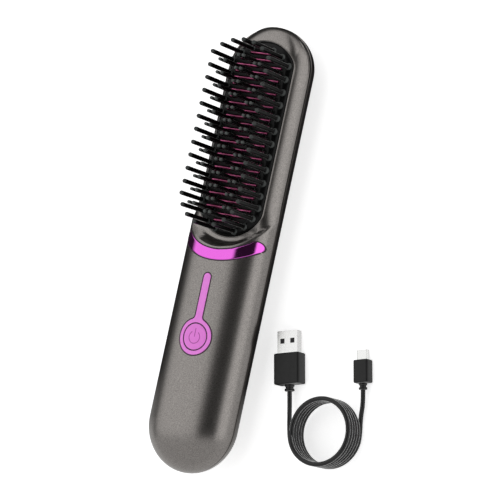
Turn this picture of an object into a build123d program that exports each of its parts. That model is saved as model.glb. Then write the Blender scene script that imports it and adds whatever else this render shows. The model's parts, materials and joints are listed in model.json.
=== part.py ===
from build123d import *
import os
from math import asin, cos, degrees, pi, radians, sin, sqrt, tan

# Cordless heated comb with its charging cable.
# The comb lies on its back: X is its width, +Y runs from tail to head, +Z is the bristle side.
# The origin is under the middle of the comb, on the surface that it lies on. Millimetres.

os.makedirs("parts", exist_ok=True)
FOOT = (Align.CENTER, Align.CENTER, Align.MIN)

# ---- housing ----
body_length = 240.0
body_width = 51.6
body_depth = 33.5        # of the full oval section, before its back is flattened
head_cap = 23.5          # length of the domed head end
tail_cap = 25.8          # length of the domed tail end
back_flat = 0.5          # how deep the resting land on the back cuts in
shell_wall = 1.8
seam_lip = 0.85          # radial thickness of the lip that joins the two shells
seam_lip_height = 1.5
fit_gap = 0.1            # between pieces that are pushed together

# ---- head opening ----
pad_half_width = 19.6
pad_length = 61.4        # between the centres of the pad's round ends
pad_margin = 32.2        # from the head's end to the upper centre
pad_high_radius = 23.0
pad_low_radius = 21.1
pad_corner = 8.0         # between a round end and a straight side
deck_rise = 8.0          # deck of the head above the parting plane
scoop_foot = 22.4        # radius of the scoop where it meets the deck
scoop_lip = 26.9         # radius of the scoop at the front surface
scoop_arc = 8.0
rim_width = 1.1          # bead round the pad
rim_rise = 0.6

# ---- comb guard, its bristles and teeth ----
guard_proud = 2.7
guard_round = 0.9        # along the pad's upper edge
guard_flange = 0.6       # how far the flange reaches under the deck
flange_thickness = 1.1
flange_width = 2.5
bristle_height = 21.0
bristle_radius = 1.15
bristle_column = 17.4    # straight rows from the centre line
bristle_rows = 10        # in each straight row
high_arc = (23.0, -4.3)  # radius, and its centre from the pad's upper centre
high_arc_step = 16.5     # degrees
high_arc_count = 7
low_arc = (18.0, -0.9)
low_arc_step = 20.0
low_arc_count = 8
tooth_height = 20.0
tooth_radius = 0.88      # of each prong
tooth_bevel = 0.45
prong_spread = 3.0       # between the two prongs of a tooth
tooth_column = 10.9      # side columns from the centre line
web_height = 8.0
web_thickness = 1.2
row_pitch = 3.48
first_row_lead = 11.6    # first row below the pad's lower centre
centre_rows = 13
side_rows = 12
rib_half_length = 13.85
rib_width = 0.8
rib_proud = 0.8
rib_slot_gap = 0.45
rib_end_margin = 4.9     # from the pad's edge to the slots in its round ends

# ---- heater stack ----
plate_thickness = 2.2
plate_gap = 0.3          # under the guard
plate_side_gap = 0.3
tray_wall = 1.5
tray_ledge = 1.7
tray_well = 3.0          # depth below the plate
tray_floor = 1.6
heater_width = 20.0
heater_length = 64.0
heater_thickness = 1.8
mica_thickness = 0.5
tray_post_radius = 2.5
tray_post_x = 9.0
tray_post_reach = 26.0   # posts from the pad's middle, along Y
sensor_radius = 1.0
sensor_length = 4.0
fuse_radius = 1.3
fuse_length = 9.0
heater_end_gap = 4.0     # from the heater's ends to the sensor and the fuse

# ---- accent band, as deep as the inlay ----
band_offset = 1.8        # its centre above the pad's lower centre
band_inner = 30.8
band_outer = 36.5
band_tip = 24.2          # half span across the front

# ---- indicator inlay, power button, switch ----
button_y = -50.0
ring_radius = 10.0
stem_gap = 8.1           # from the band to the stem's end
stem_width = 4.5
stem_blend = 2.5
inlay_depth = 1.2
inlay_proud = 0.15
button_radius = 6.7
button_gap = 0.15
button_travel = 0.5
button_flange = 1.0
button_flange_thickness = 0.9
window_width = 2.4
switch_size = 6.0
switch_corner = 0.6
switch_height = 2.2
plunger_radius = 1.7
plunger_rise = 0.6
plunger_depth = 1.2
plunger_gap = 0.05

# ---- battery and boards ----
cell_radius = 9.2
cell_length = 65.0
cell_spread = 19.0
cell_drop = 2.0          # cell axes below the parting plane
cell_setback = 27.0      # from the tail's end to the cells
cell_gap = 0.15
saddle_width = 2.0
saddle_pitch = 22.0
saddle_drop = 1.0        # saddle tops below the cell axes
tab_thickness = 0.3
tab_width = 8.0
tab_height = 7.0
tab_corner = 1.0
bracket_width = 30.0
bracket_top = 1.2        # plastic over the cells
bracket_depth = 5.0
board_width = 27.0
board_length = 56.0
board_shift = 2.0        # the board's middle from the button, towards the head
board_thickness = 1.2
led_length = 3.0
led_width = 1.6
led_height = 0.9
led_count = 3
led_step = 6.5
led_place = 19.8         # from the board's middle, towards the head
chip_size = 7.0
chip_height = 1.0
chip_place = (7.5, -15.0)        # from the board's middle
inductor_size = 7.0
inductor_corner = 1.5
inductor_height = 2.2
inductor_place = (-7.0, -16.0)
mosfet_width = 5.0
mosfet_length = 6.0
mosfet_height = 1.1
mosfet_x = 7.5
mosfet_y = 18.0
peg_radius = 1.3
peg_x = 11.5
peg_reach = 25.0

# ---- charging socket ----
socket_width = 7.5
socket_height = 2.7
socket_length = 5.6
socket_sheet = 0.3
socket_drop = 3.0        # socket axis below the parting plane
socket_recess = 1.0      # its mouth behind the tail's surface
socket_gap = 0.3
contact_width = 3.8      # the socket's tongue
contact_height = 0.6
contact_rise = 0.3
charge_board_setback = 0.8    # its front edge behind the socket's mouth
charge_board_width = 16.0
charge_board_length = 18.0
charge_post_radius = 2.6
charge_post_x = 5.0
charge_post_setback = 18.5     # from the tail's end

# ---- screws ----
neck_screw_x = 15.0
tail_screw_x = 14.5
tail_screw_setback = 19.0
screw_length = 13.0
screw_radius = 1.1
screw_head_radius = 2.1
screw_head_height = 1.5
screw_seat = 7.5         # height of the head's seat
boss_radius = 3.3
pilot_depth = 6.0
plug_radius = 2.5
plug_gap = 0.2
small_screw_radius = 0.9
small_head_radius = 1.7
small_head_height = 1.2
small_screw_length = 5.0

# ---- charging cable ----
cable_diameter = 2.5
plug_lean = 14.2         # degrees that both plugs turn from +Y towards -X
coil_centre = (74.2, -84.4)
coil_radius = 17.0       # to the middle of the cable
coil_turns = 5.5
usb_exit = (46.0, -67.0, 4.0)
usb_route = [usb_exit, (48.28, -76.02, 4.0), (54.5, -85.4, 10.9), (59.1, -92.2, 15.0)]
micro_exit = (88.4, -58.8, 3.2)
micro_route = [(90.7, -80.2, 1.25), (89.3, -73.2, 1.25), (90.12, -65.59, 3.2), micro_exit]
usb_relief_length = 3.5
usb_relief_radius = 2.6
relief_groove = 0.5
usb_grip = (15.2, 16.4, 8.0)     # width, length, height
usb_shell = (12.0, 11.8, 4.5)
usb_sheet = 0.3
usb_window = 2.5
usb_window_spread = 6.0
usb_window_y = 6.4
usb_tongue = (11.0, 11.2, 1.9)
micro_relief_length = 3.4
micro_relief_radius = 2.2
micro_grip = (8.6, 12.0, 6.4)
micro_shell = (6.85, 5.2, 1.8)
micro_sheet = 0.25
micro_core = (5.0, 4.6, 0.6)
micro_corner = 0.8               # cut off the corners of the micro-USB section
grip_corner = 1.2
bend_share = 0.45                # part of the shorter run that each bend may use

# ---- heights worked out from the sizes above ----
mid = body_depth / 2 - back_flat                 # parting plane
head_end = body_length / 2
tail_end = -body_length / 2
head_centre = head_end - head_cap
tail_centre = tail_end + tail_cap
pad_high = head_end - pad_margin
pad_low = pad_high - pad_length
first_row = pad_low - first_row_lead
band_centre = pad_low + band_offset
stem_top = band_centre - band_outer - stem_gap
cell_y = tail_end + cell_setback + cell_length / 2
board_y = button_y + board_shift
charge_post_y = tail_end + charge_post_setback
deck = mid + deck_rise
guard_top = deck + guard_proud
flange_top = deck - shell_wall - 2 * fit_gap
flange_bottom = flange_top - flange_thickness
plate_top = flange_top - plate_gap
plate_bottom = plate_top - plate_thickness
tray_floor_top = plate_bottom - tray_well
tray_bottom = tray_floor_top - tray_floor
pad_middle = (pad_low + pad_high) / 2
cell_axis = mid - cell_drop
bracket_under = cell_axis + cell_radius + cell_gap
board_bottom = bracket_under + bracket_top
board_top = board_bottom + board_thickness
plunger_top = board_top + switch_height + plunger_rise
socket_axis = mid - socket_drop
charge_board_top = socket_axis - socket_height / 2
neck_screw_y = (cell_y + cell_length / 2 + pad_low - pad_low_radius) / 2
screw_corners = [
    (side * x, y)
    for x, y in ((neck_screw_x, neck_screw_y), (tail_screw_x, tail_end + tail_screw_setback))
    for side in (-1, 1)
]


def front_height(x, inset):
    """Height of the front surface at x, for the surface that lies inset below the skin."""
    half_width = body_width / 2 - inset
    half_depth = body_depth / 2 - inset
    return mid + half_depth * sqrt(1 - (x / half_width) ** 2)


def capsule(inset):
    """The closed body, with its skin moved inwards by inset: an oval tube with domed ends."""
    half_width = body_width / 2 - inset
    half_depth = body_depth / 2 - inset
    with BuildPart() as domes:
        with BuildSketch(Plane.XY):
            with BuildLine():
                tail = EllipticalCenterArc(
                    (0, tail_centre), half_width, tail_cap - inset, -90, arc_size=90
                )
                Polyline(tail @ 1, (0, tail_centre), tail @ 0)
            make_face()
            with BuildLine():
                head = EllipticalCenterArc(
                    (0, head_centre), half_width, head_cap - inset, 0, arc_size=90
                )
                Polyline(head @ 1, (0, head_centre), head @ 0)
            make_face()
        revolve(axis=Axis.Y)
        scale(by=(1, 1, half_depth / half_width))
    with BuildPart() as body:
        add(domes.part)
        with BuildSketch(Plane.XZ.offset(-head_centre)):
            Ellipse(half_width, half_depth)
        extrude(amount=head_centre - tail_centre)
    return body.part.moved(Location((0, 0, mid)))


def pad_outline(half_width):
    """The pad's outline, or one parallel to it: wide round ends and straight sides."""
    margin = half_width - pad_half_width
    with BuildSketch(Plane.XY) as outline:
        with Locations((0, pad_low)):
            Circle(pad_low_radius + margin)
        with Locations((0, pad_high)):
            Circle(pad_high_radius + margin)
        with Locations((0, pad_middle)):
            Rectangle(2 * half_width, pad_length)
            Rectangle(2 * half_width, 2 * pad_length, mode=Mode.INTERSECT)
        fillet(outline.vertices(), pad_corner + margin)
    return outline.sketch


def scoop(inset):
    """What is cut away above the head's deck, grown by inset on every side."""
    foot = scoop_foot + inset
    lip = scoop_lip + inset
    low = deck - inset
    high = mid + body_depth / 2
    top = high + 2
    with BuildPart() as cut:
        with BuildSketch(Plane.XZ.offset(-pad_low)):
            with BuildLine():
                wall = RadiusArc((foot, low), (lip, high), -scoop_arc)
                Polyline(wall @ 1, (lip, top), (0, top), (0, low), wall @ 0)
            make_face()
        revolve(axis=Axis((0, pad_low, 0), (0, 0, 1)))
        with BuildSketch(Plane.XY.offset(low)):
            with Locations((0, (pad_low + head_end + 1) / 2)):
                Rectangle(body_width + 2, head_end + 1 - pad_low)
        extrude(amount=top - low)
    return cut.part


def cavity(inset):
    """The room inside the shells, under the scoop."""
    with BuildPart() as room:
        add(capsule(inset))
        add(scoop(inset), mode=Mode.SUBTRACT)
    return room.part


def keyhole(margin):
    """Outline of the inlay: a ring round the button, and a stem towards the head."""
    with BuildSketch(Plane.XY) as outline:
        with Locations((0, button_y)):
            Circle(ring_radius)
        with Locations((0, (button_y + stem_top) / 2)):
            SlotOverall(stem_top - button_y, stem_width, rotation=90)
        corners = outline.vertices().filter_by(
            lambda v: abs(abs(v.X) - stem_width / 2) < 0.01 and v.Y < stem_top - stem_width
        )
        fillet(corners, stem_blend)
        if margin:
            offset(amount=margin)
    return outline.sketch


def crescent(margin):
    """Outline of the accent band, a slice of a ring with rounded tips."""
    middle = (band_inner + band_outer) / 2
    tip_radius = (band_outer - band_inner) / 2
    spread = degrees(asin((band_tip - tip_radius) / middle))
    with BuildSketch(Plane.XY) as outline:
        SlotArc(
            CenterArc((0, band_centre), middle, 270 - spread, 2 * spread),
            2 * (tip_radius + margin),
        )
    return outline.sketch


def rib_field(half_length, width, end_half_width):
    """Narrow bars across the pad, one between each two rows of teeth."""
    count = centre_rows + side_rows + 2
    with BuildSketch(Plane.XY) as bars:
        with Locations((0, first_row + row_pitch * (count - 2) / 2)):
            with GridLocations(0, row_pitch, 1, count):
                Rectangle(2 * half_length, width)
        add(pad_outline(end_half_width), mode=Mode.INTERSECT)
    return bars.sketch


def bosses(points, radius, bottom, top):
    """Round posts from bottom to top."""
    with BuildPart() as posts:
        with BuildSketch(Plane.XY.offset(bottom)):
            with Locations(*points):
                Circle(radius)
        extrude(amount=top - bottom)
    return posts.part


# ---- shapes that several pieces share ----
skin = capsule(0)
room = cavity(shell_wall)
half_wall_room = cavity(shell_wall / 2)
lip_skin = capsule(seam_lip)
inlay_floor = capsule(inlay_depth)
inlay_skin = capsule(-inlay_proud)
body_top = mid + body_depth / 2 + 1
button_hole = button_radius + button_gap
window_y = (button_y + ring_radius + stem_top) / 2
peg_points = [
    (side * peg_x, board_y + end * peg_reach) for side in (-1, 1) for end in (-1, 1)
]

with BuildPart() as seam_room:
    add(lip_skin)
    with BuildSketch(Plane.XY.offset(mid - 1)):
        Rectangle(2 * body_width, 2 * body_length)
    extrude(amount=1 + seam_lip_height, mode=Mode.INTERSECT)

with BuildPart() as inlay_pockets:
    with BuildSketch(Plane.XY.offset(mid)):
        add(keyhole(fit_gap))
        add(crescent(fit_gap))
    extrude(amount=body_depth)
    add(inlay_floor, mode=Mode.SUBTRACT)

# ---- front housing: the bristle-side shell ----
with BuildPart() as front_posts:
    add(bosses(screw_corners, boss_radius, mid, body_top))
    add(bosses(peg_points, peg_radius, board_top + fit_gap, body_top))
    add(half_wall_room, mode=Mode.INTERSECT)

with BuildPart() as front_housing:
    add(skin)
    add(scoop(0), mode=Mode.SUBTRACT)
    with BuildSketch(Plane.XY.offset(deck - shell_wall / 2)):
        add(pad_outline(pad_half_width + fit_gap + rim_width))
    extrude(amount=shell_wall / 2 + rim_rise)
    add(room, mode=Mode.SUBTRACT)
    add(seam_room.part, mode=Mode.SUBTRACT)
    split(bisect_by=Plane.XY.offset(mid), keep=Keep.TOP)
    add(front_posts.part)
    add(inlay_pockets.part, mode=Mode.SUBTRACT)
    with BuildSketch(Plane.XY.offset(mid)):
        with Locations(*screw_corners):
            Circle(screw_radius)
    extrude(amount=pilot_depth, mode=Mode.SUBTRACT)
    with BuildSketch(Plane.XY.offset(flange_top)):
        add(pad_outline(pad_half_width + fit_gap))
    extrude(amount=body_depth, mode=Mode.SUBTRACT)
    with BuildSketch(Plane.XY.offset(mid)):
        with Locations((0, button_y)):
            Circle(button_hole)
        with Locations((0, window_y)):
            SlotOverall(
                stem_top - button_y - ring_radius - stem_width, window_width, rotation=90
            )
    extrude(amount=body_depth, mode=Mode.SUBTRACT)
front_housing.part.label = "front_housing"
export_step(front_housing.part, "parts/front_housing.step")

# ---- rear housing: the back shell, with its posts, saddles and socket slot ----
tray_posts = [
    (side * tray_post_x, pad_middle + end * tray_post_reach)
    for side in (-1, 1)
    for end in (-1, 1)
]
charge_posts = [(-charge_post_x, charge_post_y), (charge_post_x, charge_post_y)]
cell_sides = (-cell_spread / 2, cell_spread / 2)


def cells(radius, length):
    """Both battery cells, as plain cylinders."""
    with BuildPart() as pair:
        with BuildSketch(Plane.XZ.offset(-cell_y - length / 2)):
            with Locations(*((x, cell_axis) for x in cell_sides)):
                Circle(radius)
        extrude(amount=length)
    return pair.part


def micro_outline(plane, width, height, margin=0.0):
    """Micro-USB section: flat on one long side, with the corners of the other cut off."""
    half = width / 2 + margin
    rise = height / 2 + margin
    with BuildSketch(plane) as outline:
        with BuildLine():
            Polyline(
                (-half, rise),
                (half, rise),
                (half, micro_corner - rise),
                (half - micro_corner, -rise),
                (micro_corner - half, -rise),
                (-half, micro_corner - rise),
                close=True,
            )
        make_face()
    return outline.sketch


socket_mouth = tail_centre - tail_cap * sqrt(1 - (2 * socket_drop / body_depth) ** 2) + socket_recess
socket_plane = Plane(origin=(0, socket_mouth, socket_axis), x_dir=(1, 0, 0), z_dir=(0, -1, 0))

with BuildPart() as saddles:
    with BuildSketch(Plane.XY):
        with Locations((0, cell_y)):
            with GridLocations(0, saddle_pitch, 1, 3):
                Rectangle(body_width, saddle_width)
    extrude(amount=cell_axis - saddle_drop)
    add(cells(cell_radius + cell_gap, cell_length + 2), mode=Mode.SUBTRACT)

with BuildPart() as rear_posts:
    add(saddles.part)
    add(bosses(screw_corners, boss_radius, 0, mid))
    add(bosses(tray_posts, tray_post_radius, 0, tray_bottom - fit_gap))
    add(bosses(charge_posts, charge_post_radius, 0, charge_board_top - board_thickness))
    add(half_wall_room, mode=Mode.INTERSECT)

with BuildPart() as seam_tongue:
    with BuildSketch(Plane.XY.offset(mid - 1)):
        Rectangle(2 * body_width, 2 * body_length)
    extrude(amount=1 + seam_lip_height - fit_gap)
    add(capsule(seam_lip + fit_gap), mode=Mode.INTERSECT)

with BuildPart() as rear_housing:
    add(skin)
    split(bisect_by=Plane.XY.offset(mid), keep=Keep.BOTTOM)
    split(bisect_by=Plane.XY, keep=Keep.TOP)
    add(seam_tongue.part)
    add(room, mode=Mode.SUBTRACT)
    add(rear_posts.part)
    with BuildSketch(Plane.XY):
        with Locations(*screw_corners):
            Circle(plug_radius + fit_gap)
    extrude(amount=screw_seat, mode=Mode.SUBTRACT)
    with BuildSketch(Plane.XY):
        with Locations(*screw_corners):
            Circle(screw_radius + fit_gap)
    extrude(amount=mid, mode=Mode.SUBTRACT)
    with BuildSketch(Plane.XY.offset(charge_board_top - board_thickness)):
        with Locations(*charge_posts):
            Circle(small_screw_radius)
    extrude(amount=board_thickness - small_screw_length, mode=Mode.SUBTRACT)
    extrude(
        micro_outline(socket_plane, socket_width, socket_height, socket_gap),
        amount=socket_length,
        both=True,
        mode=Mode.SUBTRACT,
    )
rear_housing.part.label = "rear_housing"
export_step(rear_housing.part, "parts/rear_housing.step")

# ---- accent band and indicator inlay ----
with BuildPart() as accent_band:
    with BuildSketch(Plane.XY.offset(mid)):
        add(crescent(0))
    extrude(amount=body_depth)
    add(inlay_skin, mode=Mode.INTERSECT)
    add(inlay_floor, mode=Mode.SUBTRACT)
accent_band.part.label = "accent_band"
export_step(accent_band.part, "parts/accent_band.step")

with BuildPart() as indicator_inlay:
    with BuildSketch(Plane.XY.offset(mid)):
        add(keyhole(0))
        with Locations((0, button_y)):
            Circle(button_hole, mode=Mode.SUBTRACT)
    extrude(amount=body_depth)
    add(inlay_skin, mode=Mode.INTERSECT)
    add(inlay_floor, mode=Mode.SUBTRACT)
indicator_inlay.part.label = "indicator_inlay"
export_step(indicator_inlay.part, "parts/indicator_inlay.step")

# ---- power button and its switch ----
flange_radius = button_radius + button_flange
button_flange_top = front_height(flange_radius, shell_wall) - 2 * fit_gap
button_flange_bottom = button_flange_top - button_flange_thickness

with BuildPart() as power_button:
    with BuildSketch(Plane.XY.offset(button_flange_bottom)):
        with Locations((0, button_y)):
            Circle(button_radius)
    extrude(amount=body_top - button_flange_bottom)
    add(capsule(-inlay_proud), mode=Mode.INTERSECT)
    with BuildSketch(Plane.XY.offset(button_flange_bottom)):
        with Locations((0, button_y)):
            Circle(flange_radius)
    extrude(amount=button_flange_thickness)
    with BuildSketch(Plane.XY.offset(plunger_top)):
        with Locations((0, button_y)):
            Circle(plunger_radius)
    extrude(amount=button_flange_bottom - plunger_top)
power_button.part.label = "power_button"
export_step(power_button.part, "parts/power_button.step")

switch_top = board_top + switch_height
with BuildPart() as tact_switch:
    with BuildSketch(Plane.XY.offset(board_top)):
        with Locations((0, button_y)):
            RectangleRounded(switch_size, switch_size, switch_corner)
    extrude(amount=switch_height)
    with BuildSketch(Plane.XY.offset(switch_top)):
        with Locations((0, button_y)):
            Circle(plunger_radius + plunger_gap)
    extrude(amount=-plunger_depth - button_travel - fit_gap, mode=Mode.SUBTRACT)
tact_switch.part.label = "tact_switch"
export_step(tact_switch.part, "parts/tact_switch.step")

with BuildPart() as switch_plunger:
    with BuildSketch(Plane.XY.offset(switch_top - plunger_depth)):
        with Locations((0, button_y)):
            Circle(plunger_radius)
    extrude(amount=plunger_depth + plunger_rise)
switch_plunger.part.label = "switch_plunger"
export_step(switch_plunger.part, "parts/switch_plunger.step")

# ---- comb guard: the slotted pad, the bristles round its edge and the two-pronged teeth ----
centre_teeth = [(0, first_row + 2 * row_pitch * i) for i in range(centre_rows)]
side_teeth = [
    (side * tooth_column, first_row + row_pitch * (2 * i + 1))
    for i in range(side_rows)
    for side in (-1, 1)
]
side_bristles = [
    (side * bristle_column, first_row + 2 * row_pitch * (i + 2))
    for i in range(bristle_rows)
    for side in (-1, 1)
]
high_angles = [90 + high_arc_step * (i - high_arc_count // 2) for i in range(high_arc_count)]
low_angles = [
    270 + side * low_arc_step * (i + 1) for i in range(low_arc_count // 2) for side in (-1, 1)
]
end_bristles = [
    (radius * cos(radians(angle)), centre + shift + radius * sin(radians(angle)))
    for (radius, shift), centre, angles in (
        (high_arc, pad_high, high_angles),
        (low_arc, pad_low, low_angles),
    )
    for angle in angles
]

with BuildPart() as bristle:
    Cylinder(bristle_radius, bristle_height - bristle_radius, align=FOOT)
    with Locations((0, 0, bristle_height - bristle_radius)):
        Sphere(bristle_radius)

with BuildPart() as tooth:
    with Locations((-prong_spread / 2, 0), (prong_spread / 2, 0)):
        Cylinder(tooth_radius, tooth_height, align=FOOT)
    chamfer(tooth.edges().group_by(Axis.Z)[-1], tooth_bevel)
    Box(prong_spread, web_thickness, web_height, align=FOOT)

with BuildPart() as comb_guard:
    with BuildSketch(Plane.XY.offset(flange_top)):
        add(pad_outline(pad_half_width))
    extrude(amount=guard_top - flange_top)
    fillet(comb_guard.edges().group_by(Axis.Z)[-1], guard_round)
    with BuildSketch(Plane.XY.offset(flange_top)):
        add(
            rib_field(
                rib_half_length + rib_slot_gap,
                rib_width + 2 * rib_slot_gap,
                pad_half_width - rib_end_margin,
            )
        )
    extrude(amount=guard_top - flange_top, mode=Mode.SUBTRACT)
    with BuildSketch(Plane.XY.offset(flange_bottom)):
        add(pad_outline(pad_half_width + guard_flange))
        add(pad_outline(pad_half_width + guard_flange - flange_width), mode=Mode.SUBTRACT)
    extrude(amount=flange_thickness)
comb_guard.part.label = "comb_guard"
export_step(comb_guard.part, "parts/comb_guard.step")

with BuildPart() as edge_bristles:
    with Locations(*((x, y, guard_top) for x, y in side_bristles + end_bristles)):
        add(bristle.part)
edge_bristles.part.label = "edge_bristles"
export_step(edge_bristles.part, "parts/edge_bristles.step")

with BuildPart() as guard_teeth:
    with Locations(*((x, y, guard_top) for x, y in centre_teeth + side_teeth)):
        add(tooth.part)
guard_teeth.part.label = "guard_teeth"
export_step(guard_teeth.part, "parts/guard_teeth.step")

# ---- heater stack: finned plate, heater, mica, tray, sensor, fuse ----
plate_radius = pad_half_width + guard_flange - flange_width - plate_side_gap
with BuildPart() as heating_plate:
    with BuildSketch(Plane.XY.offset(plate_bottom)):
        add(pad_outline(plate_radius))
    extrude(amount=plate_thickness)
    with BuildSketch(Plane.XY.offset(plate_top)):
        add(
            rib_field(
                rib_half_length,
                rib_width,
                pad_half_width - rib_end_margin - rib_slot_gap,
            )
        )
    extrude(amount=guard_top + rib_proud - plate_top)
heating_plate.part.label = "heating_plate"
export_step(heating_plate.part, "parts/heating_plate.step")

with BuildPart() as ceramic_heater:
    with BuildSketch(Plane.XY.offset(plate_bottom - heater_thickness)):
        with Locations((0, pad_middle)):
            Rectangle(heater_width, heater_length)
    extrude(amount=heater_thickness)
ceramic_heater.part.label = "ceramic_heater"
export_step(ceramic_heater.part, "parts/ceramic_heater.step")

with BuildPart() as mica_sheet:
    with BuildSketch(Plane.XY.offset(plate_bottom - heater_thickness - mica_thickness)):
        with Locations((0, pad_middle)):
            Rectangle(heater_width + 2, heater_length + 2)
    extrude(amount=mica_thickness)
mica_sheet.part.label = "mica_sheet"
export_step(mica_sheet.part, "parts/mica_sheet.step")

with BuildPart() as pressure_pad:
    with BuildSketch(Plane.XY.offset(tray_floor_top)):
        with Locations((0, pad_middle)):
            RectangleRounded(heater_width, heater_length, 2)
    extrude(amount=tray_well - heater_thickness - mica_thickness)
pressure_pad.part.label = "pressure_pad"
export_step(pressure_pad.part, "parts/pressure_pad.step")

tray_radius = plate_radius + plate_side_gap + tray_wall
with BuildPart() as heater_tray:
    with BuildSketch(Plane.XY.offset(tray_bottom)):
        add(pad_outline(tray_radius))
    extrude(amount=flange_bottom - tray_bottom)
    with BuildSketch(Plane.XY.offset(plate_bottom)):
        add(pad_outline(plate_radius + plate_side_gap))
    extrude(amount=plate_thickness, mode=Mode.SUBTRACT)
    with BuildSketch(Plane.XY.offset(tray_floor_top)):
        add(pad_outline(plate_radius + plate_side_gap - tray_ledge))
    extrude(amount=tray_well, mode=Mode.SUBTRACT)
heater_tray.part.label = "heater_tray"
export_step(heater_tray.part, "parts/heater_tray.step")

sensor_axis = plate_bottom - sensor_radius
with BuildPart() as temperature_sensor:
    with BuildSketch(Plane.YZ.offset(-sensor_length / 2)):
        with Locations((pad_middle + heater_length / 2 + heater_end_gap, sensor_axis)):
            Circle(sensor_radius)
    extrude(amount=sensor_length)
temperature_sensor.part.label = "temperature_sensor"
export_step(temperature_sensor.part, "parts/temperature_sensor.step")

fuse_axis = plate_bottom - fuse_radius
with BuildPart() as thermal_fuse:
    with BuildSketch(Plane.YZ.offset(-fuse_length / 2)):
        with Locations((pad_middle - heater_length / 2 - heater_end_gap, fuse_axis)):
            Circle(fuse_radius)
    extrude(amount=fuse_length)
thermal_fuse.part.label = "thermal_fuse"
export_step(thermal_fuse.part, "parts/thermal_fuse.step")

# ---- battery, its tabs and the bracket over it ----
for name, x in (("battery_cell_left", cell_sides[0]), ("battery_cell_right", cell_sides[1])):
    with BuildPart() as battery_cell:
        with BuildSketch(Plane.XZ.offset(-cell_y - cell_length / 2)):
            with Locations((x, cell_axis)):
                Circle(cell_radius)
        extrude(amount=cell_length)
    battery_cell.part.label = name
    export_step(battery_cell.part, "parts/" + name + ".step")

with BuildPart() as battery_tabs:
    with BuildSketch(Plane.XZ.offset(-cell_y - cell_length / 2)):
        with Locations((0, cell_axis)):
            RectangleRounded(cell_spread + tab_width, tab_height, tab_corner)
    extrude(amount=-tab_thickness)
    with BuildSketch(Plane.XZ.offset(-cell_y + cell_length / 2)):
        with Locations(*((x, cell_axis) for x in cell_sides)):
            RectangleRounded(tab_width, tab_height, tab_corner)
    extrude(amount=tab_thickness)
battery_tabs.part.label = "battery_tabs"
export_step(battery_tabs.part, "parts/battery_tabs.step")

with BuildPart() as battery_bracket:
    with BuildSketch(Plane.XY.offset(board_bottom)):
        with Locations((0, board_y)):
            Rectangle(bracket_width, board_length)
    extrude(amount=-bracket_depth)
    add(cells(cell_radius + cell_gap, 3 * cell_length), mode=Mode.SUBTRACT)
battery_bracket.part.label = "battery_bracket"
export_step(battery_bracket.part, "parts/battery_bracket.step")

# ---- control board and what is soldered to it ----
with BuildPart() as control_board:
    with BuildSketch(Plane.XY.offset(board_bottom)):
        with Locations((0, board_y)):
            RectangleRounded(board_width, board_length, 2)
    extrude(amount=board_thickness)
control_board.part.label = "control_board"
export_step(control_board.part, "parts/control_board.step")

with BuildPart() as status_leds:
    with BuildSketch(Plane.XY.offset(board_top)):
        with Locations((0, board_y + led_place)):
            with GridLocations(0, led_step, 1, led_count):
                Rectangle(led_width, led_length)
    extrude(amount=led_height)
status_leds.part.label = "status_leds"
export_step(status_leds.part, "parts/status_leds.step")

with BuildPart() as controller_chip:
    with BuildSketch(Plane.XY.offset(board_top)):
        with Locations((chip_place[0], board_y + chip_place[1])):
            Rectangle(chip_size, chip_size)
    extrude(amount=chip_height)
controller_chip.part.label = "controller_chip"
export_step(controller_chip.part, "parts/controller_chip.step")

with BuildPart() as power_inductor:
    with BuildSketch(Plane.XY.offset(board_top)):
        with Locations((inductor_place[0], board_y + inductor_place[1])):
            RectangleRounded(inductor_size, inductor_size, inductor_corner)
    extrude(amount=inductor_height)
power_inductor.part.label = "power_inductor"
export_step(power_inductor.part, "parts/power_inductor.step")

with BuildPart() as heater_mosfets:
    with BuildSketch(Plane.XY.offset(board_top)):
        with Locations((-mosfet_x, board_y + mosfet_y), (mosfet_x, board_y + mosfet_y)):
            Rectangle(mosfet_width, mosfet_length)
    extrude(amount=mosfet_height)
heater_mosfets.part.label = "heater_mosfets"
export_step(heater_mosfets.part, "parts/heater_mosfets.step")

# ---- charging socket and its board ----
charge_board_front = socket_mouth + charge_board_setback
with BuildPart() as charge_board:
    with BuildSketch(Plane.XY.offset(charge_board_top)):
        with Locations((0, charge_board_front + charge_board_length / 2)):
            Rectangle(charge_board_width, charge_board_length)
        with Locations(*charge_posts):
            Circle(small_screw_radius + fit_gap, mode=Mode.SUBTRACT)
    extrude(amount=-board_thickness)
    add(capsule(shell_wall + socket_gap), mode=Mode.INTERSECT)
charge_board.part.label = "charge_board"
export_step(charge_board.part, "parts/charge_board.step")

with BuildPart() as charge_socket:
    extrude(micro_outline(socket_plane, socket_width, socket_height), amount=-socket_length)
    extrude(
        micro_outline(socket_plane, socket_width, socket_height, -socket_sheet),
        amount=socket_sheet - socket_length,
        mode=Mode.SUBTRACT,
    )
charge_socket.part.label = "charge_socket"
export_step(charge_socket.part, "parts/charge_socket.step")

with BuildPart() as socket_tongue:
    with BuildSketch(socket_plane.offset(-socket_sheet)):
        with Locations((0, contact_rise)):
            Rectangle(contact_width, contact_height)
    extrude(amount=2 * socket_sheet - socket_length)
socket_tongue.part.label = "socket_tongue"
export_step(socket_tongue.part, "parts/socket_tongue.step")

# ---- screws and their plugs ----
with BuildPart() as housing_screws:
    with BuildSketch(Plane.XY.offset(screw_seat - screw_head_height)):
        with Locations(*screw_corners):
            Circle(screw_head_radius)
    extrude(amount=screw_head_height)
    with BuildSketch(Plane.XY.offset(screw_seat)):
        with Locations(*screw_corners):
            Circle(screw_radius - plunger_gap)
    extrude(amount=screw_length)
housing_screws.part.label = "housing_screws"
export_step(housing_screws.part, "parts/housing_screws.step")

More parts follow.
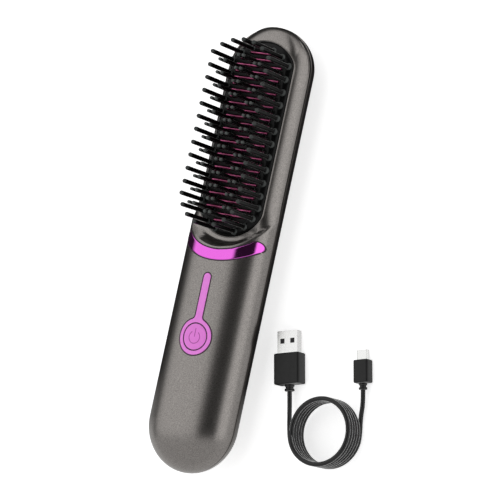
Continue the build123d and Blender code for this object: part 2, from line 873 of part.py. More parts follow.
with BuildPart() as screw_plugs:
    with BuildSketch(Plane.XY):
        with Locations(*screw_corners):
            Circle(plug_radius)
    extrude(amount=screw_seat - screw_head_height - plug_gap)
    add(capsule(fit_gap), mode=Mode.INTERSECT)
screw_plugs.part.label = "screw_plugs"
export_step(screw_plugs.part, "parts/screw_plugs.step")

with BuildPart() as board_screws:
    with BuildSketch(Plane.XY.offset(charge_board_top)):
        with Locations(*charge_posts):
            Circle(small_head_radius)
    extrude(amount=small_head_height)
    with BuildSketch(Plane.XY.offset(charge_board_top)):
        with Locations(*charge_posts):
            Circle(small_screw_radius - plunger_gap)
    extrude(amount=-small_screw_length)
board_screws.part.label = "board_screws"
export_step(board_screws.part, "parts/board_screws.step")


# ---- charging cable: two leads, the coil between them, and both plugs ----
def lead(points):
    """Round cable: straight runs between the points, with bends as wide as the runs allow."""
    radii = []
    for before, corner, after in zip(points, points[1:], points[2:]):
        run_in = Vector(*corner) - Vector(*before)
        run_out = Vector(*after) - Vector(*corner)
        half_turn = radians(run_in.get_angle(run_out) / 2)
        radii.append(bend_share * min(run_in.length, run_out.length) / tan(half_turn))
    with BuildPart() as tube:
        with BuildLine():
            route = FilletPolyline(*points, radius=radii)
        with BuildSketch(Plane(origin=route @ 0, z_dir=route % 0)):
            Circle(cable_diameter / 2)
        sweep()
    plain_volume = pi * (cable_diameter / 2) ** 2 * route.length
    print("lead", round(route.length, 1), "mm, bend radii", [round(r, 1) for r in radii])
    print("volume over section times length", round(tube.part.volume / plain_volume, 4))
    return tube.part


def plug_plane(origin, distance):
    """Plane across a plug, at a distance along it from where the cable enters."""
    lean = radians(plug_lean)
    along = Vector(-sin(lean), cos(lean), 0)
    return Plane(origin=Vector(*origin) + along * distance, x_dir=(cos(lean), sin(lean), 0), z_dir=along)


with BuildPart() as cable_coil:
    with BuildSketch(Plane.XY):
        with Locations(coil_centre):
            Circle(coil_radius + cable_diameter / 2)
            Circle(coil_radius - cable_diameter / 2, mode=Mode.SUBTRACT)
    extrude(amount=(coil_turns + 1) * cable_diameter)
cable_coil.part.label = "cable_coil"
export_step(cable_coil.part, "parts/cable_coil.step")

for name, points in (("cable_lead_usb", usb_route), ("cable_lead_micro", micro_route)):
    cable_lead = lead(points)
    cable_lead.label = name
    export_step(cable_lead, "parts/" + name + ".step")

relief_end = usb_relief_length
grip_end = relief_end + usb_grip[1]
with BuildPart() as usb_a_relief:
    with BuildSketch(plug_plane(usb_exit, 0)):
        Circle(usb_relief_radius)
    extrude(amount=usb_relief_length)
    with BuildSketch(plug_plane(usb_exit, usb_relief_length / 3)):
        Circle(usb_relief_radius)
        Circle(usb_relief_radius - relief_groove, mode=Mode.SUBTRACT)
    extrude(amount=usb_relief_length / 3, mode=Mode.SUBTRACT)
usb_a_relief.part.label = "usb_a_relief"
export_step(usb_a_relief.part, "parts/usb_a_relief.step")

with BuildPart() as usb_a_overmold:
    with BuildSketch(plug_plane(usb_exit, relief_end)):
        RectangleRounded(usb_grip[0], usb_grip[2], grip_corner)
    extrude(amount=usb_grip[1])
usb_a_overmold.part.label = "usb_a_overmold"
export_step(usb_a_overmold.part, "parts/usb_a_overmold.step")

with BuildPart() as usb_a_shell:
    with BuildSketch(plug_plane(usb_exit, grip_end)):
        Rectangle(usb_shell[0], usb_shell[2])
        Rectangle(usb_shell[0] - 2 * usb_sheet, usb_shell[2] - 2 * usb_sheet, mode=Mode.SUBTRACT)
    extrude(amount=usb_shell[1])
    with Locations(plug_plane(usb_exit, grip_end + usb_window_y)):
        with GridLocations(usb_window_spread, 0, 2, 1):
            Box(usb_window, 2 * usb_shell[2], usb_window, mode=Mode.SUBTRACT)
usb_a_shell.part.label = "usb_a_shell"
export_step(usb_a_shell.part, "parts/usb_a_shell.step")

with BuildPart() as usb_a_tongue:
    with BuildSketch(plug_plane(usb_exit, grip_end)):
        with Locations((0, usb_shell[2] / 2 - usb_sheet)):
            Rectangle(usb_tongue[0], usb_tongue[2], align=(Align.CENTER, Align.MAX))
    extrude(amount=usb_tongue[1])
usb_a_tongue.part.label = "usb_a_tongue"
export_step(usb_a_tongue.part, "parts/usb_a_tongue.step")

with BuildPart() as micro_usb_relief:
    with BuildSketch(plug_plane(micro_exit, 0)):
        Circle(micro_relief_radius)
    extrude(amount=micro_relief_length)
    with BuildSketch(plug_plane(micro_exit, micro_relief_length / 3)):
        Circle(micro_relief_radius)
        Circle(micro_relief_radius - relief_groove, mode=Mode.SUBTRACT)
    extrude(amount=micro_relief_length / 3, mode=Mode.SUBTRACT)
micro_usb_relief.part.label = "micro_usb_relief"
export_step(micro_usb_relief.part, "parts/micro_usb_relief.step")

with BuildPart() as micro_usb_overmold:
    with BuildSketch(plug_plane(micro_exit, micro_relief_length)):
        RectangleRounded(micro_grip[0], micro_grip[2], grip_corner)
    extrude(amount=micro_grip[1])
micro_usb_overmold.part.label = "micro_usb_overmold"
export_step(micro_usb_overmold.part, "parts/micro_usb_overmold.step")

micro_plug_plane = plug_plane(micro_exit, micro_relief_length + micro_grip[1])
with BuildPart() as micro_usb_shell:
    extrude(micro_outline(micro_plug_plane, micro_shell[0], micro_shell[2]), amount=micro_shell[1])
    extrude(
        micro_outline(micro_plug_plane, micro_shell[0], micro_shell[2], -micro_sheet),
        amount=micro_shell[1],
        mode=Mode.SUBTRACT,
    )
micro_usb_shell.part.label = "micro_usb_shell"
export_step(micro_usb_shell.part, "parts/micro_usb_shell.step")

with BuildPart() as micro_usb_core:
    with BuildSketch(micro_plug_plane):
        Rectangle(micro_core[0], micro_core[2])
    extrude(amount=micro_core[1])
micro_usb_core.part.label = "micro_usb_core"
export_step(micro_usb_core.part, "parts/micro_usb_core.step")
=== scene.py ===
"""Cordless heated comb and its charging cable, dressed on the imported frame.

Shapes are written in millimetres and become metres as each mesh or curve is made. The band, the
ribbons, the pad's bead and the joint at the seam are closed meshes with their faces wound inwards.
"""
import json
from math import atan2, cos, degrees, pi, radians, sin, sqrt

import bmesh
import bpy
import numpy as np
from mathutils import Matrix, Vector


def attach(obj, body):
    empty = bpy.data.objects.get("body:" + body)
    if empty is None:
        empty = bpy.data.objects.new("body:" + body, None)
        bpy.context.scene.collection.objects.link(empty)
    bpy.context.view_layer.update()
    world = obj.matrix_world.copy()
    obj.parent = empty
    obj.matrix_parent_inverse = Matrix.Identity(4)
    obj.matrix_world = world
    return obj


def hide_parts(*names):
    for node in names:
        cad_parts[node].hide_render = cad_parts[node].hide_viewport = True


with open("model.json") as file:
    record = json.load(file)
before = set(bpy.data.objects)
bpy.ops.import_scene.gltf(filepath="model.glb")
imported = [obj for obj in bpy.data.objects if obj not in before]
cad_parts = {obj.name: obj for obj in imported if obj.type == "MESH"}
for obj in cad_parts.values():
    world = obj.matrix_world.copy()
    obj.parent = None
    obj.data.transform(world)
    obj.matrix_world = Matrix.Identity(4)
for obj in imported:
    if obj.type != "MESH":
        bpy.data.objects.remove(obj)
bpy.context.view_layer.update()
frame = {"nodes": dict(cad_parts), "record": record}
NODES = frame["nodes"]
SLOT_OF = {row["node"]: row["material_slot"] for row in frame["record"]["subparts"]}
MM = 0.001


# ---------------------------------------------------------------- materials
class Nodes:
    """A small helper round the node tree of a material or of the world."""

    def __init__(self, owner):
        owner.use_nodes = True
        self.tree = owner.node_tree

    def node(self, kind, **settings):
        """A new node; a setting is the value of the input of that name, or else a property."""
        made = self.tree.nodes.new(kind)
        for key, value in settings.items():
            if key in made.inputs:
                made.inputs[key].default_value = value
            else:
                setattr(made, key, value)
        return made

    def link(self, source, socket):
        self.tree.links.new(source, socket)

    def axes(self, coordinate):
        """The X, Y and Z outputs of a texture coordinate."""
        apart = self.node("ShaderNodeSeparateXYZ")
        self.link(self.node("ShaderNodeTexCoord").outputs[coordinate], apart.inputs["Vector"])
        return apart.outputs

    def span(self, value, low, high):
        """Runs from 0 to 1 while the value runs from low to high."""
        made = self.node("ShaderNodeMapRange", **{"From Min": low, "From Max": high})
        self.link(value, made.inputs["Value"])
        return made.outputs["Result"]

    def ramp(self, fac, stops):
        """A colour ramp; each stop is a position with a grey level or a colour."""
        made = self.node("ShaderNodeValToRGB")
        elements = made.color_ramp.elements
        while len(elements) < len(stops):
            elements.new(0.5)
        for element, (position, _) in zip(elements, stops):
            element.position = position
        for element, (_, shade) in zip(elements, stops):
            rgb = shade if isinstance(shade, tuple) else (shade,) * 3
            element.color = (*rgb, 1)
        self.link(fac, made.inputs["Fac"])
        return made.outputs["Color"]

    def mix(self, fac, first, second):
        """The first shader where fac is 0, the second where it is 1."""
        made = self.node("ShaderNodeMixShader")
        for source, socket in zip((fac, first, second), made.inputs):
            self.link(source, socket)
        return made.outputs["Shader"]


class Shader(Nodes):
    """A small helper round one procedural material."""

    def __init__(self, name, color, metallic, roughness, specular=0.5):
        self.material = bpy.data.materials.new(name)
        super().__init__(self.material)
        self.bsdf = self.tree.nodes["Principled BSDF"]
        for socket, value in (
            ("Base Color", (*color, 1)),
            ("Metallic", metallic),
            ("Roughness", roughness),
            ("Specular IOR Level", specular),
        ):
            self.bsdf.inputs[socket].default_value = value

    def noise(self, scale, detail=2.0, stretch=(1, 1, 1)):
        mapping = self.node("ShaderNodeMapping", Scale=stretch)
        self.link(self.node("ShaderNodeTexCoord").outputs["Object"], mapping.inputs["Vector"])
        noise = self.node("ShaderNodeTexNoise", Scale=scale, Detail=detail)
        self.link(mapping.outputs["Vector"], noise.inputs["Vector"])
        return noise.outputs["Fac"]

    def vary(self, fac, low, high, socket="Base Color", at=(0.3, 0.7)):
        """The socket runs from low to high while fac runs between the two positions at."""
        self.link(self.ramp(fac, tuple(zip(at, (low, high)))), self.bsdf.inputs[socket])

    def bump(self, fac, strength, distance):
        bump = self.node("ShaderNodeBump", Strength=strength, Distance=distance)
        self.link(fac, bump.inputs["Height"])
        self.link(bump.outputs["Normal"], self.bsdf.inputs["Normal"])


def shades(color, spread):
    """The colour made darker and paler by a share of itself."""
    return tuple(c * (1 - spread) for c in color), tuple(min(1.0, c * (1 + spread)) for c in color)


def plastic(name, color, roughness, spread=0.25, specular=0.5):
    """Moulded plastic: faint mottling, uneven gloss and a fine grain."""
    s = Shader(name, color, 0.0, roughness, specular)
    s.vary(s.noise(scale=400.0), *shades(color, spread))
    s.vary(s.noise(scale=900.0), roughness * 0.85, min(1.0, roughness * 1.15), "Roughness")
    s.bump(s.noise(scale=4000.0), strength=0.3, distance=0.00002)
    return s.material


def metal(name, color, roughness, stretch=(1, 1, 1), spread=0.06):
    """Bare or plated metal with fine drawing marks."""
    s = Shader(name, color, 1.0, roughness)
    s.vary(s.noise(1500.0, 3.0, stretch), *shades(color, spread))
    s.vary(s.noise(2500.0, 2.0, stretch), roughness * 0.8, roughness * 1.3, "Roughness")
    return s.material


def lacquer(name):
    """Gunmetal paint with fine bright flake."""
    base = (0.222, 0.208, 0.197)
    dark, bright = (tuple(c * share for c in base) for share in (0.74, 1.30))
    s = Shader(name, base, 1.0, roughness=0.29)
    s.vary(s.noise(scale=2300.0, detail=3.0), dark, bright, at=(0.34, 0.66))
    s.bump(s.noise(scale=5200.0, detail=1.0), strength=0.12, distance=0.00004)
    return s.material


# heights in millimetres of painted highlights on the black plastic, and how pale they are: feet and
# tips
BRISTLE_PAINTED_HIGHLIGHTS = (
    (26.3, 0.0), (26.7, 0.065), (27.3, 0.065), (27.8, 0.0), (45.8, 0.0), (47.6, 0.06),
)
TOOTH_PAINTED_HIGHLIGHTS = ((26.5, 0.0), (26.9, 0.05), (27.6, 0.0), (44.8, 0.0), (46.6, 0.085))
PAINTED_HIGHLIGHT_REACH = 50.0


def black_sheen(name, face, edge, specular, at=(0.62, 0.96), painted_highlights=()):
    """Black plastic with a painted sheen: paler colour towards its edges, and painted highlights at
    the heights that its last argument lists.
    """
    roughness = 0.24
    s = Shader(name, (face,) * 3, 0.0, roughness, specular)
    # painted sheen: the base colour turns paler grey where the surface turns away, towards its
    # edges
    facing = s.node("ShaderNodeLayerWeight", Blend=0.5).outputs["Facing"]
    color = s.ramp(facing, tuple(zip(at, (face, edge))))
    if painted_highlights:
        # painted highlights: the colour turns paler grey at the heights of the collars and of the
        # tips
        height = s.span(s.axes("Object")["Z"], 0.0, PAINTED_HIGHLIGHT_REACH * MM)
        stops = [(z / PAINTED_HIGHLIGHT_REACH, (grey * 0.92, grey, grey * 0.97)) for z, grey in painted_highlights]
        paler = s.node("ShaderNodeMix", data_type="RGBA", blend_type="LIGHTEN")
        paler.inputs["Factor"].default_value = 1.0
        s.link(color, paler.inputs["A"])
        s.link(s.ramp(height, stops), paler.inputs["B"])
        color = paler.outputs["Result"]
    s.link(color, s.bsdf.inputs["Base Color"])
    s.vary(s.noise(scale=900.0), roughness * 0.85, roughness * 1.15, "Roughness")
    s.bump(s.noise(scale=2500.0), strength=0.2, distance=0.00002)
    return s.material


MAKE = {
    "housing_lacquer": lacquer,
    "band_mirror": lambda name: metal(name, (0.68, 0.125, 0.62), 0.09, spread=0.02),
    "inlay_magenta": lambda name: plastic(name, (0.86, 0.225, 0.79), 0.38, spread=0.03),
    "button_magenta": lambda name: plastic(name, (0.83, 0.205, 0.75), 0.38, spread=0.03),
    # the joints round the band, the inlay and the button, widened into painted shade
    "gap_dark": lambda name: plastic(name, (0.022, 0.003, 0.018), 0.6, spread=0.1),
    "joint_dark": lambda name: plastic(name, (0.006, 0.006, 0.006), 0.6),
    "symbol_dark": lambda name: plastic(name, (0.42, 0.06, 0.36), 0.4, spread=0.05),
    # the black plastics below carry a painted sheen: their edges are coloured paler grey
    "guard_black": lambda name: black_sheen(name, 0.003, 0.26, 0.12),
    "bristle_black": lambda name: black_sheen(name, 0.003, 0.26, 0.14, painted_highlights=BRISTLE_PAINTED_HIGHLIGHTS),
    "tooth_black": lambda name: black_sheen(name, 0.003, 0.20, 0.14, painted_highlights=TOOTH_PAINTED_HIGHLIGHTS),
    "plate_magenta": lambda name: metal(name, (0.62, 0.14, 0.30), 0.35, spread=0.15),
    "switch_black": lambda name: plastic(name, (0.02, 0.02, 0.02), 0.5),
    "ceramic_white": lambda name: plastic(name, (0.75, 0.73, 0.68), 0.6, spread=0.05),
    "mica_amber": lambda name: plastic(name, (0.45, 0.28, 0.12), 0.45),
    "silicone_grey": lambda name: plastic(name, (0.25, 0.26, 0.27), 0.7),
    "tray_nylon": lambda name: plastic(name, (0.03, 0.03, 0.03), 0.55),
    "glass_bead": lambda name: plastic(name, (0.55, 0.35, 0.12), 0.15),
    "nickel_steel": lambda name: metal(name, (0.62, 0.60, 0.57), 0.3, stretch=(1, 8, 1)),
    "cell_wrap": lambda name: plastic(name, (0.03, 0.16, 0.33), 0.35, spread=0.1),
    "board_green": lambda name: plastic(name, (0.02, 0.13, 0.06), 0.4),
    "led_white": lambda name: plastic(name, (0.8, 0.8, 0.72), 0.35, spread=0.05),
    "chip_black": lambda name: plastic(name, (0.025, 0.025, 0.027), 0.6),
    "plug_rubber": lambda name: plastic(name, (0.02, 0.02, 0.02), 0.7),
    # the pale lines along the cable's turns are a painted sheen
    "cable_black": lambda name: black_sheen(name, 0.005, 0.62, 0.35, at=(0.5, 0.9)),
    "overmold_black": lambda name: plastic(name, (0.005, 0.005, 0.005), 0.40, specular=0.3),
    "plug_nickel": lambda name: metal(name, (0.72, 0.72, 0.71), 0.25, spread=0.02),
}
made_materials = {}


def material(name):
    """The material of that name, made when it is first asked for."""
    if name not in made_materials:
        made_materials[name] = MAKE[name](name)
    return made_materials[name]


# ---------------------------------------------------------------- sizes, in millimetres
half_width, half_depth, mid = 25.8, 16.75, 16.25  # the oval body; mid is the height of its seam
head_centre, head_cap = 96.5, 23.5  # where a round end begins, and how long it is
tail_centre, tail_cap = -94.2, 25.8
deck, guard_top, flange_top = 24.25, 26.95, 22.25  # heights on the head
pad_half_width, pad_corner = 19.6, 8.0
pad_low, pad_high, pad_low_radius, pad_high_radius = 26.4, 87.8, 21.1, 23.0
head_from, head_run = -2.0, 28.0  # where the handle turns into the head
land_end, land_side = 0.3, 18.0  # share of the land's fall in the middle; where it is whole
land_blend, land_lift = 8.0, 2.0
land_slope, land_curve = 0.52, 0.07
scoop_foot, scoop_spread, scoop_run, scoop_rise = 22.4, 5.0, 4.65, 11.0
lip_soft, rim_soft, rim_from, rim_run = 1.3, 3.0, 4.0, 26.0
shell_wall = 1.5
seam_turns, seam_depths = (0.0, 1.3, 1.9, 2.5), (0.6, 0.55, 0.12, 0.0)  # degrees over the seam
button_y, ring_radius, button_hole = -49.6, 9.6, 7.5
stem_top, stem_half, stem_blend = -15.7, 2.15, 2.5
band_centre, band_middle, band_half, band_spread = 28.2, 33.65, 2.85, 39.38  # spread in degrees
inlay_proud, inlay_depth = 0.15, 1.2


# ---------------------------------------------------------------- the body's outside
def past_end(y):
    """How far y lies into a round end of the body: 0 before it, 1 at its tip."""
    head, tail = (y - head_centre) / head_cap, (tail_centre - y) / tail_cap
    return np.where(y > head_centre, head, np.where(y < tail_centre, tail, 0.0))


def body_field(p):
    """First-order distance from the oval body, negative inside; p is an n by 3 array."""
    x, y, z = p[:, 0], p[:, 1], p[:, 2] - mid
    share, cap = past_end(y), np.where(y > 0, head_cap, tail_cap)
    r = np.sqrt((x / half_width) ** 2 + (z / half_depth) ** 2 + share**2)
    slope = np.sqrt(
        (x / half_width**2) ** 2 + (z / half_depth**2) ** 2 + (share / cap) ** 2
    )
    return (r - 1) * r / np.maximum(slope, 1e-6)


def on_head(y):
    """Runs softly from 0 under the scoop to 1 on the head."""
    share = np.clip((y - head_from) / head_run, 0.0, 1.0)
    return share**2 * (3 - 2 * share)


def land_drop(x, y):
    """How far the land beside the pad falls away, towards the sides and the head's end."""
    side = np.abs(x)
    end = np.hypot(x, np.maximum(y - pad_high, 0.0)) - pad_high_radius + pad_half_width
    near = np.maximum(land_blend - np.abs(side - end), 0.0) / land_blend
    out = np.maximum(np.maximum(side, end) + land_lift * near**2 - pad_half_width, 0.0)
    beside = land_end + (1 - land_end) * np.clip(side / land_side, 0.0, 1.0) ** 2
    return on_head(y) * beside * (land_slope * out + land_curve * out**2)


def scoop_field(p):
    """Distance above the head's deck and its scooped wall."""
    x, y, z = p.T
    z = z + land_drop(x, y)
    foot = scoop_foot + scoop_spread * on_head(y)
    reach = np.hypot(x, np.minimum(y - pad_low, 0.0))
    out = np.maximum(reach - foot, 0.0)
    drop = z - deck - scoop_rise
    r = np.sqrt((out / scoop_run) ** 2 + (drop / scoop_rise) ** 2)
    slope = np.sqrt((out / scoop_run**2) ** 2 + (drop / scoop_rise**2) ** 2)
    wall = (1 - r) * r / np.maximum(slope, 1e-6)
    return np.where(reach < foot, z - deck, wall)


def front_field(p):
    """The front shell's outside: the oval body less the scoop, with a soft rim between them."""
    a, b = body_field(p), scoop_field(p)
    share = np.clip((p[:, 1] - rim_from) / rim_run, 0.0, 1.0)
    soft = share * (rim_soft - lip_soft) + lip_soft
    near = np.maximum(soft - np.abs(a - b), 0.0) / soft
    return np.maximum(a, b) + near**2 * soft / 4


def slope_of(field, p):
    """Unit normals of a field at the points."""
    probe = 0.02
    out = np.empty_like(p)
    for axis in range(3):
        step = np.zeros(3)
        step[axis] = probe
        out[:, axis] = field(p + step) - field(p - step)
    return out / np.linalg.norm(out, axis=1)[:, None]


def march(centre, direction, low, high, rounds):
    """Halves low to high until they hold where each line leaves the front shell."""
    for _ in range(rounds):
        middle = (low + high) / 2
        out = front_field(centre + direction * middle[:, None]) > 0
        high = np.where(out, middle, high)
        low = np.where(out, low, middle)
    return low, high


def skin_height(x, y):
    """Height of the oval body's front at x, y."""
    x, y = np.asarray(x, float), np.asarray(y, float)
    share = np.maximum(y - head_centre, 0) / head_cap
    return mid + half_depth * np.sqrt(1 - (x / half_width) ** 2 - share**2)


def skin_normal(x, y):
    """Unit normals of the oval body's front at x, y."""
    points = np.stack([x, y, skin_height(x, y)], axis=1)
    return slope_of(body_field, points)


# ---------------------------------------------------------------- making pieces
def placed(name, data):
    """A new object in the scene."""
    made = bpy.data.objects.new(name, data)
    bpy.context.scene.collection.objects.link(made)
    return made


def piece(name, data, slot, body="housing", stands_for=(), material_name=None):
    """A visible piece on a body, in place of the nodes it stands for."""
    made = placed(name, data)
    data.materials.append(material(material_name or slot))
    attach(made, body)
    if stands_for:
        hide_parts(*stands_for)
    return made


def shade(mesh, sharp):
    """Smooth shading, with the edges kept that turn by more than sharp degrees."""
    mesh.polygons.foreach_set("use_smooth", [True] * len(mesh.polygons))
    if sharp:
        mesh.set_sharp_from_angle(angle=radians(sharp))
    return mesh


def solid(name, verts, faces, sharp=35.0):
    """A smooth-shaded mesh from points in millimetres."""
    mesh = bpy.data.meshes.new(name)
    mesh.from_pydata((np.asarray(verts, float) * MM).tolist(), [], faces)
    return shade(mesh, sharp)


def strips(rings, around, start=0, joined=False, cut=False, flip=False):
    """Quads between rings of points that follow each other from start.

    joined: the last ring meets the first; cut: the rings are open lines; flip: faces turned over.
    """
    faces = []
    for k in range(rings if joined else rings - 1):
        here, there = start + k * around, start + (k + 1) % rings * around
        for i in range(around - 1 if cut else around):
            j = (i + 1) % around
            if flip:
                faces.append((here + i, there + i, there + j, here + j))
            else:
                faces.append((here + i, here + j, there + j, there + i))
    return faces


def rod(rings, around, start=0, flip=False):
    """Quads between rings of points, and a face over the first and the last ring."""
    first = tuple(range(start, start + around))
    last = tuple(k + (rings - 1) * around for k in first)
    caps = [first, last[::-1]] if flip else [first[::-1], last]
    return strips(rings, around, start, flip=flip) + caps


def column(items, name, width=1, kind=np.float64):
    """One value of every item of a mesh, as an array."""
    out = np.empty(len(items) * width, kind)
    items.foreach_get(name, out)
    return out.reshape(-1, width) if width > 1 else out


def corner_normals(mesh):
    return column(mesh.corner_normals, "vector", 3, np.float32)


def corner_points(mesh):
    return column(mesh.loops, "vertex_index", 1, np.int32)


def corner_faces(mesh):
    sides = column(mesh.polygons, "loop_total", 1, np.int32)
    return np.repeat(np.arange(len(mesh.polygons)), sides)


def bend_normals(mesh, chosen, normal):
    """Gives the chosen corners of a mesh the normals of their points."""
    normals = corner_normals(mesh)
    normals[chosen] = normal[corner_points(mesh)[chosen]]
    mesh.normals_split_custom_set(normals.tolist())


# ---------------------------------------------------------------- outlines, seen from above
def arc(x, y, radius, angles):
    """Points round x, y at angles in degrees."""
    return [(x + radius * cos(radians(a)), y + radius * sin(radians(a))) for a in angles]


def pad_outline(margin, step):
    """Closed outline of the pad, grown by margin."""
    corner = pad_corner + margin
    across = pad_half_width + margin - corner
    points = []
    for centre, end, turn in ((pad_high, pad_high_radius, 1), (pad_low, pad_low_radius, -1)):
        radius = end + margin
        up = sqrt((radius - corner) ** 2 - across**2)
        swing = degrees(atan2(up, across))
        quarter = arc(across, up, corner, np.arange(0, swing, step))
        quarter += arc(0, 0, radius, np.arange(swing, 90.01, step))
        whole = quarter + [(-x, y) for x, y in reversed(quarter) if x > 0.01]
        points += [(turn * x, centre + turn * y) for x, y in whole]
    return points


def keyhole(margin, step):
    """Closed outline of the inlay, grown by margin."""
    ring, half, blend = ring_radius + margin, stem_half + margin, stem_blend - margin
    x = half + blend
    y = sqrt((ring + blend) ** 2 - x**2)
    start = degrees(atan2(y, x))
    points = arc(0, button_y, ring, np.arange(180 - start, 360 + start + 0.01, step))
    points += arc(x, button_y + y, blend, np.linspace(180 + start, 180, 8))
    points += arc(0, stem_top + margin - half, half, np.linspace(0, 180, 15))
    points += arc(-x, button_y + y, blend, np.linspace(0, -start, 8))
    return points


def circle(radius, step):
    """A circle round the button's middle."""
    return arc(0, button_y, radius, np.arange(0, 360, step))


def crescent(step):
    """Closed outline of the accent band."""
    first, last = 270 - band_spread, 270 + band_spread

    def tip(end, turns):
        (centre,) = arc(0, band_centre, band_middle, [end])
        return arc(*centre, band_half, [end + a for a in np.linspace(*turns, 13)[1:-1]])

    outer = arc(0, band_centre, band_middle + band_half, np.arange(first, last + 0.01, step))
    inner = arc(0, band_centre, band_middle - band_half, np.arange(last, first - 0.01, -step))
    return outer + tip(last, (0, 180)) + inner + tip(first, (180, 360))


def filled(name, outlines, thickness, bevel, resolution):
    """A flat plate with holes and rounded edges, as a mesh with z = 0 halfway through it."""
    flat = bpy.data.curves.new(name, "CURVE")
    flat.dimensions = "2D"
    flat.fill_mode = "BOTH"
    for outline in outlines:
        line = flat.splines.new("POLY")
        line.points.add(len(outline) - 1)
        for point, (x, y) in zip(line.points, outline):
            point.co = (x * MM, y * MM, 0, 1)
        line.use_cyclic_u = True
    flat.extrude = (thickness / 2 - bevel) * MM
    flat.bevel_depth = bevel * MM
    flat.bevel_resolution = resolution
    flat.offset = -bevel * MM
    holder = placed(name + "_flat", flat)
    bpy.context.view_layer.update()
    seen = holder.evaluated_get(bpy.context.evaluated_depsgraph_get())
    mesh = bpy.data.meshes.new_from_object(seen)
    bpy.data.objects.remove(holder)
    bpy.data.curves.remove(flat)
    mesh.name = name
    return mesh


def drape(mesh, thickness, top):
    """Divides a flat plate finely and lays it on the body's front, its face top above the skin."""
    longest, level_normal = 1.3 * MM, 0.98
    shape = bmesh.new()
    shape.from_mesh(mesh)
    bmesh.ops.triangulate(shape, faces=shape.faces)
    for _ in range(5):
        long = [e for e in shape.edges if e.calc_length() > longest]
        if long:
            bmesh.ops.subdivide_edges(shape, edges=long, cuts=1)
            bmesh.ops.triangulate(shape, faces=[f for f in shape.faces if len(f.verts) > 3])
    shape.to_mesh(mesh)
    shape.free()
    co = column(mesh.vertices, "co", 3) / MM
    flat = np.abs(column(mesh.polygons, "normal", 3)[:, 2]) > level_normal
    level = co[:, 2].copy()
    co[:, 2] = skin_height(co[:, 0], co[:, 1]) + top - thickness / 2 + level
    mesh.vertices.foreach_set("co", (co * MM).ravel())
    shade(mesh, 60)
    mesh.update()
    on_top = flat[corner_faces(mesh)] & (level[corner_points(mesh)] > 0)
    bend_normals(mesh, on_top, skin_normal(co[:, 0], co[:, 1]))
    return mesh


def ribbon(name, outline, inner, outer, lift, closed=True):
    """A thin square strip on the skin, from inner to outer beside an outline."""
    root = -0.4
    line = np.array(outline)
    if closed:
        ahead, behind = np.roll(line, -1, axis=0), np.roll(line, 1, axis=0)
    else:
        ahead = np.vstack([line[1:], 2 * line[-1] - line[-2]])
        behind = np.vstack([2 * line[0] - line[1], line[:-1]])
    along = ahead - behind
    along /= np.linalg.norm(along, axis=1)[:, None]
    side = np.stack([along[:, 1], -along[:, 0]], axis=1)
    section = [(inner, root), (inner, lift), (outer, lift), (outer, root)]
    rings = []
    for across, height in section:
        place = line + side * across
        rings.append(np.column_stack([place, skin_height(place[:, 0], place[:, 1]) + height]))
    k, n = len(section), len(line)
    faces = strips(k, n, joined=True, cut=not closed)
    if not closed:
        faces += [tuple(range(0, k * n, n)), tuple(range(n - 1, k * n, n))[::-1]]
    return solid(name, np.concatenate(rings), faces)


# ---------------------------------------------------------------- the two shells and their joint
def inside_pad(x, y, m):
    """Whether points lie in the pad's outline, drawn in by m."""
    end = np.abs(x)
    for past, centre, radius in (
        (y > pad_high, pad_high, pad_high_radius),
        (y < pad_low, pad_low, pad_low_radius),
    ):
        end = np.where(past, np.hypot(x, y - centre) - radius + pad_half_width, end)
    return np.maximum(end, np.abs(x)) < pad_half_width - m


def inside_keyhole(x, y, m):
    """Whether points lie in the inlay's outline, drawn in by m."""
    ring = np.hypot(x, y - button_y) < ring_radius - m
    stem = (np.abs(x) < stem_half - m) & (y > button_y) & (y < stem_top - m)
    return ring | stem


def inside_band(x, y, m):
    """Whether points lie in the accent band's outline, drawn in by m."""
    r = np.hypot(x, y - band_centre)
    turn = np.degrees(np.arctan2(np.abs(x), band_centre - y))
    return (np.abs(r - band_middle) < band_half - m) & (turn < band_spread)


def shell_grid():
    """Angles round the front shell and places along it, closest at the scoop."""
    half = np.concatenate([seam_turns, np.linspace(3.4, 90, 46)])
    theta = np.radians(np.concatenate([half, 180 - half[-2::-1]]))
    ys = np.concatenate([
        tail_centre - tail_cap * np.cos(np.linspace(0.05, pi / 2, 26)),
        np.arange(tail_centre + 1.5, -61.0, 1.5),
        np.arange(-61.0, -6.0, 0.7),
        np.arange(-6.0, 30.0, 0.25),
        np.arange(30.0, head_centre, 0.8),
        head_centre + head_cap * np.sin(np.linspace(0.0, pi / 2 - 0.04, 44)),
    ])
    return theta, ys


